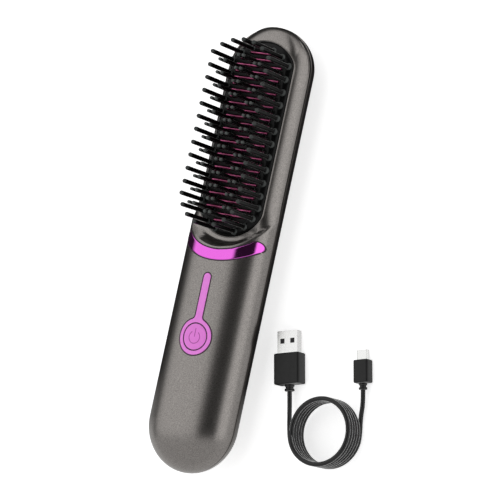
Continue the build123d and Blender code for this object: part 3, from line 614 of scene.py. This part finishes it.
def front_shell():
    """The front shell: rays from the body's middle line to its outside, and a wall inside that."""
    beyond = 1.03  # the search starts this much outside the oval
    pad_lap, inlay_lap, raised = 0.3, 0.25, mid + 4  # the shell laps under the pieces in its holes
    theta, ys = shell_grid()
    rows, cols = len(ys), len(theta)
    y, turn = (a.ravel() for a in np.meshgrid(ys, theta, indexing="ij"))
    nil = np.zeros_like(y)
    direction = np.column_stack([half_width * np.cos(turn), nil, half_depth * np.sin(turn)])
    centre = np.column_stack([nil, y, np.full_like(y, mid)])
    reach = np.repeat(np.sqrt(np.maximum(1 - past_end(ys) ** 2, 0)), cols)
    low, high = march(centre, direction, nil, reach * beyond, rounds=34)
    edge = np.minimum(np.degrees(turn), 180 - np.degrees(turn))
    groove = np.interp(edge, seam_turns, seam_depths) / half_width
    share = (low + high) / 2 * (1 - groove)
    poles = [(0, tail_centre - tail_cap, mid), (0, head_centre + head_cap, mid)]
    outer = np.vstack([centre + direction * share[:, None], poles])

    count, last = len(outer), (rows - 1) * cols
    tail_pole, head_pole = count - 2, count - 1
    quads = strips(rows, cols, cut=True, flip=True)
    quads += [(tail_pole, j, j + 1) for j in range(cols - 1)]
    quads += [(last + j, head_pole, last + j + 1) for j in range(cols - 1)]
    x, y = outer[:, 0], outer[:, 1]
    hole = inside_pad(x, y, pad_lap) | inside_keyhole(x, y, inlay_lap)
    hole = (hole | inside_band(x, y, inlay_lap)) & (outer[:, 2] > raised)
    quads = [q for q in quads if not all(hole[k] for k in q)]

    normal = slope_of(front_field, outer)
    normal[tail_pole], normal[head_pole] = (0, -1, 0), (0, 1, 0)
    inner = outer - normal * shell_wall
    inner[:, 2] = np.maximum(inner[:, 2], mid)
    used = dict.fromkeys(side for q in quads for side in zip(q, q[1:] + q[:1]))
    rim = [(b, a, a + count, b + count) for a, b in used if (b, a) not in used]
    faces = quads + [tuple(k + count for k in reversed(q)) for q in quads] + rim
    mesh = solid("front_shell", np.vstack([outer, inner]), faces, sharp=None)

    # the field's own normals outside, clear of the seam's groove, and flat ones on the rim
    verts, poly, normals = corner_points(mesh), corner_faces(mesh), corner_normals(mesh)
    plain = np.append(edge > seam_turns[-1] - 0.05, (True, True))
    outside = (poly < len(quads)) & plain[verts % count]
    normals[outside] = normal[verts[outside]]
    rimmed = poly >= 2 * len(quads)
    normals[rimmed] = column(mesh.polygons, "normal", 3, np.float32)[poly[rimmed]]
    mesh.normals_split_custom_set(normals.tolist())
    return mesh


def on_rim(points):
    """Heights of the front shell under points that are given by x and y."""
    nil, upwards = np.zeros(len(points)), np.array((0.0, 0.0, 1.0))
    foot = np.column_stack([points, nil])
    return march(foot, upwards, nil + mid, nil + (mid + half_depth), rounds=30)[0]


def pad_bead():
    """The bead round the pad: a low round moulding that follows the rim."""
    top, sunk, fullness = deck + 0.25, 0.3, 0.7
    inner, outer = (np.array(pad_outline(margin, 2.0)) for margin in (0.05, 0.6))
    middle = (inner + outer) / 2
    base = on_rim(outer)
    rings = []
    for share in np.linspace(0, 1, 9):
        angle = pi * share
        place = middle + (inner - middle) * cos(angle)
        low_side = np.where(share > 0.5, base - sunk, deck - sunk)
        height = low_side + (top - low_side) * sin(angle) ** fullness
        rings.append(np.column_stack([place, height]))
    faces = strips(len(rings), len(middle), joined=True)
    return solid("pad_bead", np.concatenate(rings), faces, sharp=50)


def rear_shell():
    """The back shell's own solid, with the oval body's true normals on its skin."""
    close, level = 0.06, 0.01
    mesh = NODES["rear_housing"].data.copy()
    mesh.materials.clear()
    co = column(mesh.vertices, "co", 3) / MM
    on_skin = (np.abs(body_field(co)) < close) & (co[:, 2] > level) & (co[:, 2] < mid + level)
    poly = corner_faces(mesh)
    whole = np.ones(len(mesh.polygons), bool)
    np.logical_and.at(whole, poly, on_skin[corner_points(mesh)])
    bend_normals(mesh, whole[poly], slope_of(body_field, co))
    return mesh


def seam_gap():
    """The dark joint between the shells, at the bottom of the groove."""
    turn = np.radians(np.arange(0, 180.01, 4.0))
    low, high = mid - 0.3, mid + 0.42
    rings = []
    for inset, z in ((0.5, low), (0.5, high), (1.2, high), (1.2, low)):
        across = (half_width - inset) * np.cos(turn)
        head = head_centre + (head_cap - inset) * np.sin(turn)
        tail = tail_centre - (tail_cap - inset) * np.sin(turn)
        x, y = np.append(across, -across), np.append(head, tail)
        rings.append(np.column_stack([x, y, np.full(len(x), z)]))
    faces = strips(len(rings), len(rings[0]), joined=True, flip=True)
    return solid("seam_gap", np.concatenate(rings), faces, sharp=50)


piece("front_shell", front_shell(), "housing_lacquer", stands_for=["front_housing"])
piece("pad_bead", pad_bead(), "housing_lacquer")
piece("rear_shell", rear_shell(), "housing_lacquer", stands_for=["rear_housing"])
piece("seam_gap", seam_gap(), "housing_lacquer", material_name="joint_dark")


# ---------------------------------------------------------------- band, inlay, button
def band_strip():
    """The band as a finely divided strip, so that its mirror stays smooth."""
    edge, edge_drop = [0.86, 0.94, 0.985, 1.0], [0.0, 0.05, 0.16, 0.32]
    across = np.concatenate([[-u for u in reversed(edge)], np.linspace(-0.72, 0.72, 9), edge])
    drop = np.interp(np.abs(across), [0.0] + edge, [0.0] + edge_drop)
    tip = degrees(band_half / band_middle)
    ends = band_spread + tip * np.sin(np.linspace(0, pi / 2, 14))
    straight = np.linspace(-band_spread, band_spread, 79)[1:-1]
    angles = np.concatenate([-ends[::-1], straight, ends])
    top, wall = [], []
    for a in angles:
        past = max(abs(a) - band_spread, 0.0) / tip
        half = max(band_half * sqrt(max(1 - past**2, 0.0)), 0.02)
        for u, d in zip(across, drop):
            r = band_middle + half * u
            x, y = r * sin(radians(a)), band_centre - r * cos(radians(a))
            top.append((x, y, skin_height(x, y) + inlay_proud - d))
            wall.append((x, y, skin_height(x, y) - inlay_depth))
    n, m = len(across), len(angles)
    below = m * n
    faces = strips(m, n, cut=True, flip=True) + strips(m, n, below, cut=True)
    for a in range(0, below - n, n):
        b = a + n - 1
        faces.append((a, below + a, below + a + n, a + n))
        faces.append((b + n, below + b + n, below + b, b))
    for a, b in zip(range(n - 1), range(below - n, below - 1)):
        faces.append((a, a + 1, below + a + 1, below + a))
        faces.append((below + b, below + b + 1, b + 1, b))
    return solid("accent_trim", top + wall, faces, sharp=50)


def inlay_plate():
    """The inlay: a keyhole plate with a hole for the button, laid on the body's front."""
    thickness = inlay_depth + inlay_proud
    outlines = [keyhole(-0.05, 6.0), circle(button_hole, 6.0)]
    return drape(filled("inlay_plate", outlines, thickness, 0.14, 2), thickness, inlay_proud)


def button_cap():
    """The button: a shallow dome with a soft edge, its flange and the foot over the switch."""
    flange_high, flange_low, foot = 30.21, 29.31, 28.80
    flange_radius, foot_radius, centre, around = 7.7, 1.7, 0.02, 96
    face = [(r, inlay_proud - 0.03) for r in (centre, 1.0, 2.0, 3.0, 4.0, 5.0, 6.1)]
    face += [(6.5, 0.10), (6.75, 0.02), (6.9, -0.10), (6.98, -0.25), (7.0, -0.45)]
    below = [(7.05, flange_high), (flange_radius, flange_high), (flange_radius, flange_low)]
    below += [(foot_radius, flange_low), (foot_radius, foot), (centre, foot)]
    angle = np.linspace(0, 2 * pi, around, endpoint=False)
    verts = []
    for rings, on_skin in ((face, True), (below, False)):
        for r, z in rings:
            x, y = r * np.cos(angle), button_y + r * np.sin(angle)
            height = skin_height(x, y) + z if on_skin else np.full(around, z)
            verts.append(np.column_stack([x, y, height]))
    faces = rod(len(verts), around, flip=True)
    return solid("button_cap", np.concatenate(verts), faces, sharp=50)


piece("accent_trim", band_strip(), "band_mirror", stands_for=["accent_band"])
piece("inlay_plate", inlay_plate(), "inlay_magenta", stands_for=["indicator_inlay"])
piece("button_cap", button_cap(), "button_magenta", "power_button", stands_for=["power_button"])
# dark strips round the band, the inlay and the button: the joints between the parts, widened into
# painted shade of their grooves
for name, outline, inner, outer, lift in (
    ("band_gap", crescent(1.5), -0.1, 0.55, 0.05),
    ("inlay_gap", keyhole(0.0, 4.0), -0.12, 0.62, 0.05),
    ("button_gap", circle(7.25, 4.0), -0.4, 0.4, -0.05),
):
    strip = ribbon(name, outline, inner, outer, lift)
    piece(name, strip, "inlay_magenta", material_name="gap_dark")
stroke_half, symbol_lift = 0.22, inlay_proud + 0.005
for name, line in (
    ("symbol_arc", arc(0, button_y - 0.3, 3.25, np.linspace(90 + 34, 90 + 326, 40))),
    ("symbol_bar", [(0.0, button_y + y) for y in np.linspace(0.0, 4.5, 9)]),
):
    strip = ribbon(name, line, -stroke_half, stroke_half, symbol_lift, closed=False)
    piece(name, strip, "button_magenta", "power_button", material_name="symbol_dark")


# ---------------------------------------------------------------- comb guard, teeth, hot plate
row_pitch, first_row, rows_of_slots = 3.48, 14.8, 27
slot_half_width, slot_half_length, slot_corner, slot_margin = 0.85, 14.3, 0.55, 4.9
slot_rows = [first_row + row_pitch * (i - 0.5) for i in range(rows_of_slots)]
# the pad's rounded shoulder, its side and underside: distance out from its outline, and height
shoulder = [
    (-4.4, 0.0), (-3.9, -0.01), (-3.3, -0.09), (-2.6, -0.33), (-1.9, -0.72), (-1.2, -1.22),
    (-0.6, -1.75), (-0.2, -2.2), (0.0, -2.6), (0.0, -4.7), (-4.4, -4.7),
]


def slot_reach(y):
    """Half length of a slot at y, cut short by the pad's round ends."""
    if y > pad_high:
        centre, radius = pad_high, pad_high_radius - slot_margin
    elif y < pad_low:
        centre, radius = pad_low, pad_low_radius - slot_margin
    else:
        return slot_half_length
    return min(slot_half_length, sqrt(radius**2 - (abs(y - centre) + slot_half_width) ** 2))


def slot_outline(y):
    """Closed outline of the slot at y."""
    across, up = slot_reach(y) - slot_corner, slot_half_width - slot_corner
    points = []
    for sx, sy, start in ((1, 1, 0), (-1, 1, 90), (-1, -1, 180), (1, -1, 270)):
        turn = np.linspace(start, start + 90, 5)
        points += arc(sx * across, y + sy * up, slot_corner, turn)
    return points


def guard_pad():
    """The slotted pad inside its shoulder, and the shoulder as rings round it."""
    step = 3.0
    outlines = [pad_outline(shoulder[0][0], step)] + [slot_outline(y) for y in slot_rows]
    mesh = filled("guard_pad", outlines, guard_top - flange_top, 0.28, 3)
    mesh.transform(Matrix.Translation((0, 0, (guard_top + flange_top) / 2 * MM)))
    shape = bmesh.new()
    shape.from_mesh(mesh)
    verts = [
        shape.verts.new((x * MM, y * MM, (guard_top + drop) * MM))
        for margin, drop in shoulder
        for x, y in pad_outline(margin, step)
    ]
    around = len(verts) // len(shoulder)
    for face in strips(len(shoulder), around, joined=True, flip=True):
        shape.faces.new([verts[k] for k in face])
    shape.to_mesh(mesh)
    shape.free()
    return shade(mesh, 35)


def lathe(profile, around):
    """Rings of a turned shape standing on z = 0: points and faces."""
    angle = np.linspace(0, 2 * pi, around, endpoint=False)
    verts = [
        np.column_stack([r * np.cos(angle), r * np.sin(angle), np.full(around, z)])
        for r, z in profile
    ]
    return np.concatenate(verts), rod(len(profile), around)


def bristle_shape():
    """A round bristle with a collar at its foot and a domed tip."""
    radius, dome_foot = 1.15, 19.85
    collar = [(1.95, -1.9), (1.9, -0.25), (1.7, 0.1), (1.35, 0.3), (1.17, 0.7)]
    dome = [
        (radius * cos(a), dome_foot + radius * sin(a)) for a in np.linspace(0, pi / 2 - 0.12, 6)
    ]
    return lathe(collar + [(radius, 1.2), (radius, 10.0)] + dome, 20)


def tooth_shape():
    """Two round-topped prongs with a thin curved web between their feet."""
    apart, web_half, web_edge, web_top, web_rise, web_round = 1.5, 0.6, 0.35, 7.4, 0.9, 0.25
    tip = [(0.88, 19.45), (0.82, 19.72), (0.66, 19.91), (0.4, 20.0), (0.05, 20.03)]
    prong, faces = lathe([(1.1, 0.0), (0.93, 0.25), (0.88, 0.7), (0.88, 9.0)] + tip, 16)
    faces = faces + [tuple(k + len(prong) for k in f) for f in faces]
    span = np.linspace(-apart, apart, 9)
    web = []
    for x in span:
        top = web_top + web_rise * (x / apart) ** 2
        half = [(x, -web_half, 0.0), (x, -web_half, top - web_round), (x, -web_edge, top)]
        web += half + [(x, -y, z) for x, y, z in reversed(half)]
    faces += rod(len(span), len(web) // len(span), 2 * len(prong), flip=True)
    return np.vstack([prong + (-apart, 0, 0), prong + (apart, 0, 0), web]), faces


def many(name, shape, places, seed, wobble, spun):
    """Copies of one shape at many places, each leaning a hair and, if spun, turned at random."""
    verts, faces = shape
    random = np.random.default_rng(seed)
    all_verts, all_faces = [], []
    for x, y in places:
        lean = random.normal(0, wobble, 2)
        spin = random.uniform(0, 2 * pi) * spun
        c, s = cos(spin), sin(spin)
        px = verts[:, 0] * c - verts[:, 1] * s + verts[:, 2] * lean[0] + x
        py = verts[:, 0] * s + verts[:, 1] * c + verts[:, 2] * lean[1] + y
        start = len(all_verts) * len(verts)
        all_verts.append(np.column_stack([px, py, verts[:, 2] + guard_top - 0.05]))
        all_faces += [tuple(k + start for k in f) for f in faces]
    return solid(name, np.concatenate(all_verts), all_faces, sharp=60)


def hot_plate():
    """The plate under the guard, with a round-topped rib in every slot."""
    low, top, rib_foot, rib_top, rib_half = 19.75, 21.95, 21.9, 27.35, 0.4
    clearance, bevel, pinched = 0.45, 0.25, 0.75
    outline = pad_outline(-2.2, 5.0)
    verts = [(x, y, z) for z in (low, top) for x, y in outline]
    faces = rod(2, len(outline))
    section = [(-rib_half, rib_foot), (rib_half, rib_foot)] + [
        (rib_half * cos(a), rib_top + rib_half * sin(a)) for a in np.linspace(0, pi, 7)
    ]
    for y in slot_rows:
        half = slot_reach(y) - clearance
        ends = ((-half, pinched), (-half + bevel, 1.0), (half - bevel, 1.0), (half, pinched))
        faces += rod(len(ends), len(section), len(verts))
        for x, pinch in ends:
            verts += [
                (x, y + dy * pinch, z - (1 - pinch) * (z > rib_foot)) for dy, z in section
            ]
    return solid("ribbed_plate", verts, faces, sharp=40)


bristles = [(s * 17.4, first_row + 2 * row_pitch * (i + 2)) for i in range(10) for s in (-1, 1)]
bristles += arc(0, pad_high - 4.3, 23.0, [90 + 16.5 * (i - 3) for i in range(7)])
bristles += arc(
    0, pad_low - 0.9, 18.0, [270 + s * 20.0 * (i + 1) for i in range(4) for s in (-1, 1)]
)
teeth = [(0, first_row + 2 * row_pitch * i) for i in range(13)]
teeth += [(s * 10.9, first_row + row_pitch * (2 * i + 1)) for i in range(12) for s in (-1, 1)]

piece("guard_pad", guard_pad(), "guard_black", stands_for=["comb_guard"])
mesh = many("bristle_ring", bristle_shape(), bristles, seed=5, wobble=0.0030, spun=True)
piece(
    "bristle_ring", mesh, "guard_black", stands_for=["edge_bristles"], material_name="bristle_black"
)
mesh = many("tooth_rows", tooth_shape(), teeth, seed=9, wobble=0.0012, spun=False)
piece("tooth_rows", mesh, "guard_black", stands_for=["guard_teeth"], material_name="tooth_black")
piece("ribbed_plate", hot_plate(), "plate_magenta", stands_for=["heating_plate"])


# ---------------------------------------------------------------- small pieces with rounded edges
def refined(node, width):
    """A node's own solid with its faces joined up and its edges rounded."""
    angle = 35.0
    shape = bmesh.new()
    shape.from_mesh(NODES[node].data)
    bmesh.ops.remove_doubles(shape, verts=shape.verts, dist=1e-6)
    bmesh.ops.dissolve_limit(
        shape, angle_limit=radians(0.5), verts=shape.verts, edges=shape.edges
    )
    mesh = bpy.data.meshes.new(node + "_fine")
    shape.to_mesh(mesh)
    shape.free()
    made = piece(node + "_fine", shade(mesh, angle), SLOT_OF[node], stands_for=[node])
    round_edges = made.modifiers.new("edges", "BEVEL")
    round_edges.width = width * MM
    round_edges.segments = 3
    round_edges.limit_method = "ANGLE"
    round_edges.angle_limit = radians(angle)
    round_edges.harden_normals = True
    return made


EDGES = {
    "usb_a_overmold": 0.8, "usb_a_shell": 0.08, "usb_a_relief": 0.25, "micro_usb_overmold": 0.7,
    "micro_usb_shell": 0.07, "micro_usb_relief": 0.2, "screw_plugs": 0.25, "charge_socket": 0.08,
}
fine_pieces = {node: refined(node, width) for node, width in EDGES.items()}
plugs = [made for node, made in fine_pieces.items() if "usb" in node]

# ---------------------------------------------------------------- charging cable
cable_diameter = 2.5 * MM
usb_route = [(46.0, -67.0, 4.0), (48.28, -76.02, 4.0), (54.5, -85.4, 10.9), (59.1, -92.2, 15.0)]
micro_route = [(90.7, -80.2, 1.25), (89.3, -73.2, 1.25), (90.12, -65.59, 3.2), (88.4, -58.8, 3.2)]
coil_centre, coil_radius = (74.2, -84.4), 17.0
cut_short = 0.9849  # a smooth curve runs this much inside the points that guide it
per_turn, turn_start, turn_sweep = 18, 207.4, 360 * 5 + 166.9
top_turn, low_turn = 15.0, 1.25
steps = round(per_turn * turn_sweep / 360)
coil = [
    (x, y, top_turn + (low_turn - top_turn) * (i / steps))
    for i in range(1, steps)
    for x, y in arc(
        *coil_centre, coil_radius / cut_short, [turn_start + turn_sweep * (i / steps)]
    )
]
route = usb_route + coil + micro_route
curve = bpy.data.curves.new("charging_cable", "CURVE")
curve.dimensions = "3D"
spline = curve.splines.new("NURBS")
spline.points.add(len(route) - 1)
for point, place in zip(spline.points, route):
    point.co = (*(c * MM for c in place), 1)
spline.order_u = 3
spline.use_endpoint_u = True
spline.resolution_u = 6
curve.bevel_depth = cable_diameter / 2
curve.bevel_resolution = 5
curve.use_fill_caps = True
leads_and_coil = ["cable_coil", "cable_lead_usb", "cable_lead_micro"]
cable = piece("charging_cable", curve, "cable_black", stands_for=leads_and_coil)
for made in [cable] + plugs:  # the comb's lacquer doesn't mirror the cable in the photograph
    made.visible_glossy = False

# ---------------------------------------------------------------- every carried-over node
for name, node in NODES.items():
    node.data.materials.clear()
    node.data.materials.append(material(SLOT_OF[name]))

# ---------------------------------------------------------------- floor
floor_half = 4
floor_mesh = bpy.data.meshes.new("floor")
corners = [(x * floor_half, y * floor_half, 0) for x, y in ((-1, -1), (1, -1), (1, 1), (-1, 1))]
floor_mesh.from_pydata(corners, [], [(0, 1, 2, 3)])
floor = placed("floor", floor_mesh)
floor.location.z = -0.00005  # just clear of what lies on it

# lit and glowing for the camera; in reflections it glows right of the comb and past its tail
paint = Shader("floor_paint", (0.8, 0.8, 0.8), 0.0, roughness=0.9, specular=0.0)
path = paint.node("ShaderNodeLightPath").outputs
matt = paint.bsdf.outputs["BSDF"]
glow = paint.node("ShaderNodeEmission", Strength=0.66)
total = paint.node("ShaderNodeAddShader")
paint.link(matt, total.inputs[0])
paint.link(glow.outputs["Emission"], total.inputs[1])
seen_floor = paint.mix(path["Is Camera Ray"], matt, total.outputs["Shader"])
reach, dark, bright = 0.2, 0.03, 1.0
place = paint.axes("Object")
lighter = paint.node("ShaderNodeMath", operation="MAXIMUM")
for socket, (axis, marks) in enumerate((
    ("X", ((0.036, dark), (0.046, bright))),
    ("Y", ((-0.12, bright), (-0.07, dark))),
)):
    stops = [((at + reach) / (2 * reach), level) for at, level in marks]
    ramp = paint.ramp(paint.span(place[axis], -reach, reach), stops)
    paint.link(ramp, lighter.inputs[socket])
mirrored = paint.node("ShaderNodeEmission", Strength=0.9)
paint.link(lighter.outputs["Value"], mirrored.inputs["Color"])
whole = paint.mix(path["Is Glossy Ray"], seen_floor, mirrored.outputs["Emission"])
paint.link(whole, paint.tree.nodes["Material Output"].inputs["Surface"])
floor.data.materials.append(paint.material)

# ---------------------------------------------------------------- light
world = bpy.data.worlds.new("studio")
bpy.context.scene.world = world
sky = Nodes(world)
# level of the light at angles from straight up, positive to the right (X)
lights = (
    (-92, 0.03), (-84, 0.03), (-72, 1.25), (2, 1.25),
    (8, 0.025), (50, 0.025), (57, 1.5), (100, 1.5),
)
ray = sky.axes("Generated")
turn = sky.node("ShaderNodeMath", operation="ARCTAN2")
sky.link(ray["X"], turn.inputs[0])
sky.link(ray["Z"], turn.inputs[1])
share = sky.span(turn.outputs["Value"], -pi, pi)
boxes = sky.ramp(share, [((angle + 180) / 360, level) for angle, level in lights])
light = sky.node("ShaderNodeMix", data_type="RGBA")
light.inputs["A"].default_value = (0.8, 0.8, 0.8, 1)  # from beyond the tail
sky.link(sky.span(ray["Y"], -0.36, -0.27), light.inputs["Factor"])
sky.link(boxes, light.inputs["B"])
background = sky.tree.nodes["Background"]
background.inputs["Strength"].default_value = 1.0
sky.link(light.outputs["Result"], background.inputs["Color"])
white = sky.node("ShaderNodeBackground", Color=(1, 1, 1, 1))
camera_ray = sky.node("ShaderNodeLightPath").outputs["Is Camera Ray"]
both = sky.mix(camera_ray, background.outputs["Background"], white.outputs["Background"])
sky.link(both, sky.tree.nodes["World Output"].inputs["Surface"])

# ---------------------------------------------------------------- camera
distance, seen_width, sensor = 1.5, 0.2632, 36
target = Vector((8.24, 1.55, 11.07)) * MM
towards = Vector((0.5405, -0.0675, 0.8388)).normalized()
up = Vector((-0.1409, 0.9755, 0.1693))
up = (up - towards * up.dot(towards)).normalized()
right = up.cross(towards)
camera_data = bpy.data.cameras.new("camera")
camera_data.sensor_width = sensor
camera_data.lens = sensor * distance / seen_width
camera_data.clip_start, camera_data.clip_end = 0.01, 20
camera = placed("camera", camera_data)
camera.matrix_world = Matrix((
    (right.x, up.x, towards.x, target.x + towards.x * distance),
    (right.y, up.y, towards.y, target.y + towards.y * distance),
    (right.z, up.z, towards.z, target.z + towards.z * distance),
    (0, 0, 0, 1),
))
bpy.context.scene.camera = camera
bpy.context.scene.view_settings.view_transform = "Standard"
